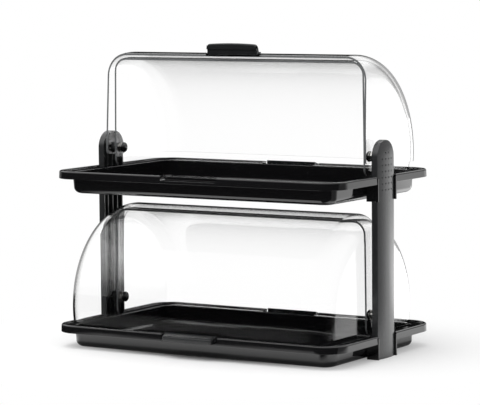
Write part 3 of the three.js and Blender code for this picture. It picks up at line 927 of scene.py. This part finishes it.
# %% Pits in Geometry Nodes
PIT_COLUMNS = 4
PIT_ROWS = 7
PIT_PITCH = 8
PIT_RADIUS = 1.35
PIT_DEPTH = 2
PIT_SIDES = 12
PIT_FLOOR_SHARE = 0.7
PIT_REACH = 12.8
PIT_TOP_OVER_PIVOT = 6


def pit_points(tree, given):
    """A grid of points in the outer face, without those past the round head."""
    spans = {}
    for count in ("Pit Rows", "Pit Columns"):
        steps = add(tree, "ShaderNodeMath", MINUS, i0=given[count], i1=1.0)
        spans[count] = add(tree, "ShaderNodeMath", TIMES, i0=steps, i1=given["Pit Pitch"])
    grid = add(tree, "GeometryNodeMeshGrid", Size_X=spans["Pit Rows"], Size_Y=spans["Pit Columns"],
               Vertices_X=given["Pit Rows"], Vertices_Y=given["Pit Columns"])
    centre = add(tree, "ShaderNodeCombineXYZ", X=given["Face"], Z=given["Pit Centre"])
    stood = add(tree, "GeometryNodeTransform", Geometry=grid, Translation=centre,
                Rotation=(0, math.pi / 2, 0))
    place = add(tree, "ShaderNodeSeparateXYZ", Vector=add(tree, "GeometryNodeInputPosition"))
    over = add(tree, "ShaderNodeMath", MINUS, i0=place.outputs["Z"], i1=given["Head Centre"])
    above = add(tree, "ShaderNodeMath", LARGER, i0=over, i1=0.0)
    flat = add(tree, "ShaderNodeCombineXYZ", X=place.outputs["Y"], Y=above)
    away = add(tree, "ShaderNodeVectorMath", LENGTH, i0=flat).outputs["Value"]
    outside = add(tree, "FunctionNodeCompare", {"operation": "GREATER_THAN"}, i0=away,
                  i1=given["Head Reach"])
    return add(tree, "GeometryNodeDeleteGeometry", {"domain": "POINT"}, Geometry=stood, Selection=outside)


def pit_nodes(tree, given):
    """A cone on each point, half of it sunk below the face."""
    narrow = add(tree, "ShaderNodeMath", TIMES, i0=given["Pit Radius"], i1=PIT_FLOOR_SHARE)
    tall = add(tree, "ShaderNodeMath", TIMES, i0=given["Pit Depth"], i1=2.0)
    cone = add(tree, "GeometryNodeMeshCone", Vertices=PIT_SIDES, Radius_Top=given["Pit Radius"],
               Radius_Bottom=narrow, Depth=tall)
    inwards = add(tree, "ShaderNodeMath", TIMES, i0=given["Pit Depth"], i1=-1.0)
    shift = add(tree, "ShaderNodeCombineXYZ", X=inwards)
    sunk = add(tree, "GeometryNodeTransform", Geometry=cone, Translation=shift,
               Rotation=(0, math.pi / 2, 0))
    cones = add(tree, "GeometryNodeInstanceOnPoints", Points=pit_points(tree, given), Instance=sunk)
    return add(tree, "GeometryNodeRealizeInstances", Geometry=cones)


print("pits, mm:", 2 * PIT_RADIUS, "wide,", PIT_DEPTH, "deep")

# %% [markdown]
# The post's own tree brings all this together with three booleans: one takes the hollow out of the
# blank, one joins the ribs, and one sinks the cones into the face. The two posts are the same
# moulding, turned about for the left side.

# %% Posts
POST_EDGE = 0.25


def post_tree(sizes, hollow):
    """Takes the hollow out of a blank, joins the ribs and sinks the pits."""
    tree, sockets = new_tree("post_moulding", sizes)
    given = add(tree, "NodeGroupInput").outputs
    cut = {"operation": "DIFFERENCE", "solver": SOLVER}
    join = {"operation": "UNION", "solver": SOLVER}
    room = add(tree, "GeometryNodeObjectInfo", Object=hollow).outputs["Geometry"]
    shell = add(tree, "GeometryNodeMeshBoolean", cut, Mesh_1=given["Geometry"], Mesh_2=room)
    ribbed = add(tree, "GeometryNodeMeshBoolean", join, i1=[shell, rib_nodes(tree, given)])
    pitted = add(tree, "GeometryNodeMeshBoolean", cut, Mesh_1=ribbed, Mesh_2=pit_nodes(tree, given))
    finish_tree(tree, pitted, POST_BLACK)
    return tree, sockets


rib_end = POST_OUTER - POST_SKIN + RIB_ROOT
post_sizes = {
    "Rib Pitch": RIB_PITCH * MM, "Rib Wall": RIB_WALL * MM, "Rib Count": RIBS,
    "Rib Deep": (rib_end - POST_INNER - RIB_SETBACK) * MM, "Rib End": rib_end * MM,
    "Pit Pitch": PIT_PITCH * MM, "Pit Radius": PIT_RADIUS * MM, "Pit Depth": PIT_DEPTH * MM,
    "Pit Columns": PIT_COLUMNS, "Pit Rows": PIT_ROWS,
    "Pit Centre": (HEAD_CENTRE + PIT_TOP_OVER_PIVOT - PIT_PITCH * (PIT_ROWS - 1) / 2) * MM,
    "Head Centre": HEAD_CENTRE * MM, "Head Reach": PIT_REACH * MM, "Face": POST_OUTER * MM,
}
hollow = post_hollow("hollow")
POST_TREE, POST_SOCKETS = post_tree(post_sizes, hollow)
print("post tree:", len(POST_TREE.nodes), "nodes")
for side, spin in SIDES.items():
    blank = post_blank("blank")
    piece = run_tree(f"{side}_post_moulding", POST_TREE, POST_SOCKETS, post_sizes, blank.data)
    bpy.data.objects.remove(blank)
    painted(piece, POST_BLACK).data.transform(Matrix.Rotation(spin, 4, "Z"))
    hand_over(piece, f"{side}_post", MOULDED_TURN, POST_EDGE)
bpy.data.objects.remove(hollow)

# %% [markdown]
# The saddles that carry the trays on the posts are plain mouldings whose shape in the frame is right,
# so it is used again instead of being drawn a second time. Each gets a copy of that shape with its
# loose triangles merged into flat faces, because a bevel works on real edges only.

# %% Saddles
FLAT_TURN = 1

for tier in PIVOT:
    for side in SIDES:
        node = f"{tier}_{side}_saddle"
        skin = bmesh.new()
        skin.from_mesh(frame["nodes"][node].data)
        bmesh.ops.scale(skin, vec=(1 / MM, 1 / MM, 1 / MM), verts=skin.verts)
        bmesh.ops.remove_doubles(skin, verts=skin.verts, dist=MERGE_DISTANCE)
        bmesh.ops.dissolve_limit(
            skin, angle_limit=math.radians(FLAT_TURN), verts=skin.verts, edges=skin.edges)
        piece = painted(piece_from(f"{node}_moulding", skin), BLACK_GLOSS)
        hand_over(piece, node, MOULDED_TURN, TRAY_EDGE)

# %% [markdown]
# Knobs, washers, spacers and bolts are turned shapes: a profile of radius and X, spun round a line
# along X. A Screw modifier could do it too, but it leaves a ring of points on top of each other where
# the profile meets the line; here that place is one point. How far a piece reaches comes from its node.

# %% Turning tools
TURNED_STEPS = 40
ROUND_STEPS = 4


def turned(name, profile, height, spin, material):
    """A profile spun round a line at a height; the profile is closed or ends on the line."""
    skin = bmesh.new()
    rows = []
    for radius, x in profile:
        count = 1 if radius == 0 else TURNED_STEPS
        angles = [2 * math.pi * i / TURNED_STEPS for i in range(count)]
        rows.append([skin.verts.new((x, radius * math.cos(a), radius * math.sin(a))) for a in angles])
    for low_row, high_row in zip(rows, rows[1:]):
        for i in range(TURNED_STEPS):
            j = (i + 1) % TURNED_STEPS
            corners = [low_row[i % len(low_row)], low_row[j % len(low_row)],
                       high_row[j % len(high_row)], high_row[i % len(high_row)]]
            skin.faces.new(list(dict.fromkeys(corners)))
    piece = piece_from(name, skin)
    piece.data.transform(Matrix.Translation((0, 0, height * MM)) @ Matrix.Rotation(spin, 4, "Z"))
    return painted(piece, material)


def reach_of(node):
    """A node's outer radius, and the ends of its reach along X from the middle of the case."""
    lowest, highest = (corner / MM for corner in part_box(node))
    start, end = sorted((abs(lowest.x), abs(highest.x)))
    return (highest.z - lowest.z) / 2, start, end


print("faces round a turned piece:", TURNED_STEPS)

# %% [markdown]
# On each side a spindle with a domed knob runs from inside the case through both shells into the post.
# A thin washer lies under the knob, a thicker one between the shells, and a spacer fills the way to the
# post. The dome is a quarter ellipse, and every ring has its outer edges rounded.

# %% Pivot hardware
SPINDLE = 3
KNOB_LENGTH = 4.4
KNOB_COLLAR = 1.2
KNOB_EDGE = 0.3
DOME_STEPS = 10
RING_EDGES = {"spacer": 0.8, "middle_washer": 0.5, "cap_washer": 0.3}
RING_FINISHES = {"spacer": POST_BLACK, "middle_washer": STEEL, "cap_washer": STEEL}


def ring_profile(node, rounding):
    """A ring round the spindle hole, with its edges rounded."""
    outer, start, end = reach_of(node)
    first = arc((outer - rounding, start + rounding), rounding, -90, 0, ROUND_STEPS)
    last = arc((outer - rounding, end - rounding), rounding, 0, 90, ROUND_STEPS)
    return [(SPINDLE_HOLE, start)] + first + last + [(SPINDLE_HOLE, end), (SPINDLE_HOLE, start)]


def knob_profile(node):
    """A domed knob with a shallow collar, and its spindle."""
    radius, start, tip = reach_of(node)
    face = start + KNOB_LENGTH
    rise = KNOB_LENGTH - KNOB_COLLAR
    turns = [math.pi / 2 * i / DOME_STEPS for i in range(DOME_STEPS + 1)]
    dome = [(radius * math.sin(a), start + rise * (1 - math.cos(a))) for a in turns]
    collar = [(radius, face - KNOB_EDGE), (radius - KNOB_EDGE, face), (SPINDLE, face)]
    return dome + collar + [(SPINDLE, tip), (0, tip)]


for tier in PIVOT:
    for side, spin in SIDES.items():
        for ring, rounding in RING_EDGES.items():
            node = f"{tier}_{side}_{ring}"
            profile = ring_profile(node, rounding)
            piece = turned(f"{node}_turned", profile, PIVOT[tier], spin, RING_FINISHES[ring])
            hand_over(piece, node, TURNED_TURN)
        node = f"{tier}_{side}_pivot_knob"
        piece = turned(f"{node}_turned", knob_profile(node), PIVOT[tier], spin, KNOB_BLACK)
        hand_over(piece, node, TURNED_TURN)

# %% [markdown]
# The bolts that tie the saddles to the posts show only their heads, behind the trays. Each head gets
# rounded edges and a six-sided socket for a key, which a boolean cuts with a prism of six corners.

# %% Post bolts
BOLT_HEIGHT = 14
BOLT_HEAD = 2.8
BOLT_EDGE = 0.6
SHANK_RADIUS = 2.2
KEY_SIDES = 6
KEY_RADIUS = 2.3
KEY_DEPTH = 1.8


def bolt_profile(node):
    """A round head, a shank and its chamfered tip."""
    radius, start, tip = reach_of(node)
    head = arc((radius - BOLT_EDGE, start + BOLT_EDGE), BOLT_EDGE, -90, 0, ROUND_STEPS)
    under = [(radius, start + BOLT_HEAD), (SHANK_RADIUS, start + BOLT_HEAD)]
    end = [(SHANK_RADIUS, tip - BOLT_EDGE), (SHANK_RADIUS - BOLT_EDGE, tip), (0, tip)]
    return [(0, start)] + head + under + end


def key_socket(node, height, spin):
    """The shape of the key, where it goes into the head."""
    start = reach_of(node)[1]
    corners = arc((0, height), KEY_RADIUS, 0, 360 - 360 / KEY_SIDES, KEY_SIDES - 1)
    key = prism("key", corners, "X", start - PAST, start + KEY_DEPTH)
    key.data.transform(Matrix.Rotation(spin, 4, "Z"))
    return key


for tier in PIVOT:
    for side, spin in SIDES.items():
        node = f"{tier}_{side}_post_bolt"
        height = TRAY_BASE[tier] + BOLT_HEIGHT
        piece = turned(f"{node}_turned", bolt_profile(node), height, spin, STEEL)
        combine(piece, key_socket(node, height, spin), "DIFFERENCE")
        hand_over(piece, node, TURNED_TURN)

# %% [markdown]
# The studio is a white table and a white backdrop, as in the photograph. The table is a real white surface that
# takes the case's shadow, but plain white is painted over that shadow from a little way off the middle of the
# case, more of it further out. So the shadow is painted paler than the lamps make it, and it fades into the plain
# white that the camera sees behind everything, where a strength of 1 is white. Rays that came straight through a
# clear shell see that same white. Places and distances in the studio are in metres.
# Mirrors need more care. A glossy black wall shows nothing but what it reflects, so its tones tell
# what stood round the case, and a ray that was mirrored on its way is given that room instead of the
# plain white. Real panels could stand there too, but they would light the case and show through its
# shells. Asking each ray how it came changes the mirror images alone. Light that was mirrored inside a
# clear sheet sees the same room, which draws the dark outlines of the shells.

# %% Two kinds of ray
WHITE_LIGHT = (1, 1, 1, 1)
ROOM_DARK = 0.006


def mirrored(tree, path):
    """1 for a ray that a glossy surface or the inside of a clear sheet has mirrored, otherwise 0."""
    once = add(tree, "ShaderNodeMath", SMALLER, i0=path["Glossy Depth"], i1=1.0)
    sharp = add(tree, "ShaderNodeMath", MINUS, i0=1.0, i1=path["Is Diffuse Ray"])
    return add(tree, "ShaderNodeMath", TIMES, i0=once, i1=sharp)


def straight(tree, path):
    """1 for a ray from the camera, or one that came through clear sheets without a mirror."""
    return add(tree, "ShaderNodeMath", LARGER, i0=path["Is Camera Ray"], i1=path["Is Transmission Ray"])


print("the dark of the mirrored room:", ROOM_DARK)

# %% [markdown]
# In the mirror images the white table doesn't go on for ever. It ends 0.3 m in front of the middle of
# the case and 0.24 m to the left of it, where the room is dark. A small wedge off the front right
# corner is dark as well. To the right the table falls into dusk, more of it towards the front than
# towards the back. All this was found by comparing the reflections with those in the photograph.

# %% Where the mirrored table is dark
FRONT_REACH = 0.3
LEFT_REACH = 0.24
TABLE_FADE = 0.1
WEDGE_SIDE = 0.16
WEDGE_FRONT = 0.145
WEDGE_FADE = 0.025
DUSK_NEAR = 0.35
DUSK_FADE = 0.15
DUSK_START_BEARING = -0.4
DUSK_FULL_BEARING = 0.25
DUSK_DARK_SHARE = 0.85


def table_end(tree, x, y):
    """1 past the front or the left end of the table."""
    leftwards = add(tree, "ShaderNodeMath", PLUS, i0=x, i1=LEFT_REACH - FRONT_REACH)
    nearest = add(tree, "ShaderNodeMath", SMALLER, i0=leftwards, i1=y)
    return add(tree, "ShaderNodeMapRange", Value=nearest, From_Min=-FRONT_REACH,
               From_Max=-FRONT_REACH - TABLE_FADE)


def wedge(tree, x, y):
    """1 off the front right corner of the case."""
    right = add(tree, "ShaderNodeMapRange", Value=x, From_Min=WEDGE_SIDE,
                From_Max=WEDGE_SIDE + WEDGE_FADE)
    front = add(tree, "ShaderNodeMapRange", Value=y, From_Min=-WEDGE_FRONT,
                From_Max=-WEDGE_FRONT - WEDGE_FADE)
    return add(tree, "ShaderNodeMath", TIMES, i0=right, i1=front)


def dusk(tree, x, y):
    """Grows on the right, as the bearing from the tray's end turns from the back to the front."""
    out = add(tree, "ShaderNodeMath", MINUS, i0=x, i1=TRAY_WIDTH / 2 * MM)
    flat = add(tree, "ShaderNodeCombineXYZ", X=out, Y=y)
    reach = add(tree, "ShaderNodeVectorMath", LENGTH, i0=flat).outputs["Value"]
    forward = add(tree, "ShaderNodeMath", MINUS, i0=out, i1=y)
    bearing = add(tree, "ShaderNodeMath", OVER, i0=forward, i1=reach)
    towards_front = add(tree, "ShaderNodeMapRange", Value=bearing, From_Min=DUSK_START_BEARING,
                        From_Max=DUSK_FULL_BEARING, To_Max=DUSK_DARK_SHARE)
    far = add(tree, "ShaderNodeMapRange", Value=x, From_Min=DUSK_NEAR, From_Max=DUSK_NEAR + DUSK_FADE)
    return add(tree, "ShaderNodeMath", TIMES, i0=towards_front, i1=far)


def dark_part(tree, x, y):
    """The darkest of the three at each place."""
    corner = add(tree, "ShaderNodeMath", LARGER, i0=table_end(tree, x, y), i1=wedge(tree, x, y))
    return add(tree, "ShaderNodeMath", LARGER, i0=corner, i1=dusk(tree, x, y))


print("the mirrored table ends, m:", FRONT_REACH, "in front,", LEFT_REACH, "to the left")

# %% [markdown]
# The rest of the mirrored table shines: its glow is light painted into the mirror images. Close under the case the
# glow is held back, which paints shade there on top of the paint's own shadow, and the glow comes in over the
# first few centimetres beside the basin. Behind the case lies a bright panel, painted into the mirror images as
# glow, whose right edge slants away to the right. Further left, the table behind the case is only grey. A lamp for
# each would light the case too, while a strength that depends on the place stays in the mirror images.

# %% Where the mirrored table shines
BASIN_SIDE = 0.204
BASIN_FRONT = 0.13
GLOW_START = 0.008
GLOW_FULL = 0.04
TABLE_GLOW = 0.8
PANEL_SLOPE = -0.617
PANEL_EDGE = 0.06
PANEL_FADE = 0.08
PANEL_NEAR = 0.4
PANEL_FAR = 1.5
PANEL_GLOW = 1.4
BACK_START = 0.15
BACK_FULL = 0.35
BACK_SIDE = 0.3
BACK_GREY = 0.34


def panel(tree, x, y):
    """1 on the bright panel behind the case."""
    shift = add(tree, "ShaderNodeMath", TIMES, i0=y, i1=PANEL_SLOPE)
    across = add(tree, "ShaderNodeMath", PLUS, i0=x, i1=shift)
    side = add(tree, "ShaderNodeMapRange", Value=across, From_Min=PANEL_EDGE,
               From_Max=PANEL_EDGE - PANEL_FADE)
    near = add(tree, "ShaderNodeMapRange", Value=y, From_Min=PANEL_NEAR, From_Max=PANEL_NEAR + PANEL_FADE)
    far = add(tree, "ShaderNodeMapRange", Value=y, From_Min=PANEL_FAR, From_Max=PANEL_FAR - PANEL_FADE)
    length = add(tree, "ShaderNodeMath", TIMES, i0=near, i1=far)
    return add(tree, "ShaderNodeMath", TIMES, i0=length, i1=side)


def table_glow(tree, x, y):
    """The light that the mirrored table adds to its paint."""
    sides = []
    for place, reach in ((x, BASIN_SIDE), (y, BASIN_FRONT)):
        from_middle = add(tree, "ShaderNodeMath", UNSIGNED, i0=place)
        sides.append(add(tree, "ShaderNodeMath", MINUS, i0=from_middle, i1=reach))
    beside = add(tree, "ShaderNodeMath", LARGER, i0=sides[0], i1=sides[1])
    # Painted shade: the glow is held back within a few centimetres of the basin, which darkens the mirrored table
    # close under the case.
    near_glow = add(tree, "ShaderNodeMapRange", Value=beside, From_Min=GLOW_START, From_Max=GLOW_FULL,
                    To_Max=TABLE_GLOW)
    panel_glow = add(tree, "ShaderNodeMath", TIMES, i0=panel(tree, x, y), i1=PANEL_GLOW)
    return add(tree, "ShaderNodeMath", PLUS, i0=near_glow, i1=panel_glow)


def grey_part(tree, x, y):
    """1 behind the case and to the left."""
    back = add(tree, "ShaderNodeMapRange", Value=y, From_Min=BACK_START, From_Max=BACK_FULL)
    side = add(tree, "ShaderNodeMapRange", Value=x, From_Min=BACK_SIDE, From_Max=0.0)
    return add(tree, "ShaderNodeMath", TIMES, i0=back, i1=side)


print("bright panel, m behind the middle of the case:", PANEL_NEAR, "to", PANEL_FAR)

# %% [markdown]
# The table itself is one large plane, a hair below the case's feet so that the two never fight over the same
# pixels. Its material sorts the rays. Straight ones see white paint, with plain white painted over it more and
# more away from the middle of the case, which paints the shadow paler as it spreads. Mirrored ones see the
# shining, grey and dark parts. All other rays, which carry light from surface to surface, meet the white paint.

# %% Table
PAINTED_WHITE_START = 0.12
PAINTED_WHITE_FADE = 0.3
TABLE_SIZE = 60
TABLE_DROP = 0.0002

bpy.ops.mesh.primitive_plane_add(size=TABLE_SIZE, location=(0, 0, -TABLE_DROP))
floor = bpy.context.object
floor.name = "table"
table, tree = new_material("white_table_top")
path = add(tree, "ShaderNodeLightPath").outputs
place = add(tree, "ShaderNodeTexCoord").outputs["Object"]
spot = add(tree, "ShaderNodeSeparateXYZ", Vector=place).outputs
x, y = spot["X"], spot["Y"]
paint = add(tree, "ShaderNodeBsdfDiffuse", Color=linear("fafafa"))
white = add(tree, "ShaderNodeEmission", Color=WHITE_LIGHT, Strength=1.0)
dark = add(tree, "ShaderNodeEmission", Color=WHITE_LIGHT, Strength=ROOM_DARK)
grey = add(tree, "ShaderNodeEmission", Color=WHITE_LIGHT, Strength=BACK_GREY)
glow = add(tree, "ShaderNodeEmission", Color=WHITE_LIGHT, Strength=table_glow(tree, x, y))

# Painted light: for straight rays, plain white is mixed over the shaded paint more and more away from the middle
# of the case, which paints the case's shadow paler.
away = add(tree, "ShaderNodeVectorMath", LENGTH, i0=place).outputs["Value"]
painted_white_share = add(tree, "ShaderNodeMapRange", Value=away, From_Min=PAINTED_WHITE_START,
                  From_Max=PAINTED_WHITE_START + PAINTED_WHITE_FADE)
whitened = add(tree, "ShaderNodeMath", TIMES, i0=painted_white_share, i1=straight(tree, path))
bright = add(tree, "ShaderNodeMixShader", i0=whitened, i1=paint, i2=white)
lit = add(tree, "ShaderNodeAddShader", i0=paint, i1=glow)
image = add(tree, "ShaderNodeMixShader", i0=dark_part(tree, x, y), i1=lit, i2=dark)
image = add(tree, "ShaderNodeMixShader", i0=grey_part(tree, x, y), i1=image, i2=grey)
sorted_rays = add(tree, "ShaderNodeMixShader", i0=mirrored(tree, path), i1=bright, i2=image)
add(tree, "ShaderNodeOutputMaterial", Surface=sorted_rays)
floor.data.materials.append(table)
print("table material:", len(tree.nodes), "nodes")

# %% [markdown]
# The world round the table sorts its rays in the same way. Mirrors see a room that is dark at eye
# height and bright overhead, with a back wall that is lit from just left of the middle to the far
# right and again at the far left, with a dark gap between the two. Each edge is given as the X, Y or Z
# of a direction, from -1 to 1. An image that has been mirrored twice is much dimmer, or every pane
# would show its room over and over. Diffuse light comes from an even dome. A picture of a real studio
# would do the same, but this script may read none.

# %% Room
CEILING_START = 0.2
CEILING_FULL = 0.5
CEILING_GLOW = 1.6
BACK_WALL_FULL = 0.2
RIGHT_START = -0.46
RIGHT_FULL = -0.3
RIGHT_GLOW = 0.5
LEFT_START = -0.68
LEFT_FULL = -0.85
LEFT_GLOW = 0.4
SECOND_IMAGE_SHARE = 0.1
DOME_LIGHT = 0.66


def room_light(tree, path):
    """The strength of the mirrored room in each direction."""
    way = add(tree, "ShaderNodeSeparateXYZ", Vector=add(tree, "ShaderNodeTexCoord").outputs["Generated"])
    x, y, z = (way.outputs[axis] for axis in "XYZ")
    above = add(tree, "ShaderNodeMapRange", Value=z, From_Min=CEILING_START, From_Max=CEILING_FULL,
                To_Min=ROOM_DARK, To_Max=CEILING_GLOW)
    right = add(tree, "ShaderNodeMapRange", Value=x, From_Min=RIGHT_START, From_Max=RIGHT_FULL,
                To_Max=RIGHT_GLOW)
    left = add(tree, "ShaderNodeMapRange", Value=x, From_Min=LEFT_START, From_Max=LEFT_FULL,
               To_Max=LEFT_GLOW)
    back = add(tree, "ShaderNodeMapRange", Value=y, From_Max=BACK_WALL_FULL)
    lit_parts = add(tree, "ShaderNodeMath", LARGER, i0=right, i1=left)
    wall = add(tree, "ShaderNodeMath", TIMES, i0=lit_parts, i1=back)
    around = add(tree, "ShaderNodeMath", LARGER, i0=above, i1=wall)
    share = add(tree, "ShaderNodeMapRange", Value=path["Glossy Depth"], From_Min=1.0, From_Max=2.0,
                To_Min=1.0, To_Max=SECOND_IMAGE_SHARE)
    return add(tree, "ShaderNodeMath", TIMES, i0=around, i1=share)


world = bpy.data.worlds.new("studio")
scene.world = world
world.use_nodes = True
tree = world.node_tree
tree.nodes.clear()
path = add(tree, "ShaderNodeLightPath").outputs
plain = add(tree, "ShaderNodeBackground", Color=WHITE_LIGHT, Strength=1.0)
room = add(tree, "ShaderNodeBackground", Color=WHITE_LIGHT, Strength=room_light(tree, path))
dome = add(tree, "ShaderNodeBackground", Color=WHITE_LIGHT, Strength=DOME_LIGHT)
direct = add(tree, "ShaderNodeMixShader", i0=straight(tree, path), i1=dome, i2=plain)
sorted_rays = add(tree, "ShaderNodeMixShader", i0=mirrored(tree, path), i1=direct, i2=room)
add(tree, "ShaderNodeOutputWorld", Surface=sorted_rays)
print("world:", len(tree.nodes), "nodes")

# %% [markdown]
# One large softbox stands high in front, to the left. With the dome it gives the trays and posts their
# soft change of tone, and the case its pale shadow on the table. A smaller or nearer lamp would draw
# hard edges. It leaves no mirror image of itself, because the mirrored room is drawn already.

# %% Softbox
SOFTBOX_PLACE = Vector((-0.5, -0.7, 2.4))
SOFTBOX_TARGET = Vector((0, 0, 0.1))
SOFTBOX_SIDE = 2.6
SOFTBOX_WATTS = 50

softbox = bpy.data.lights.new("softbox_front", "AREA")
softbox.size = SOFTBOX_SIDE
softbox.energy = SOFTBOX_WATTS
lamp = bpy.data.objects.new("softbox_front", softbox)
lamp.location = SOFTBOX_PLACE
lamp.rotation_euler = (SOFTBOX_TARGET - SOFTBOX_PLACE).to_track_quat("-Z", "Y").to_euler()
lamp.visible_glossy = False
lamp.visible_transmission = False
scene.collection.objects.link(lamp)
print("softbox, m:", SOFTBOX_SIDE, "square,", SOFTBOX_WATTS, "W")
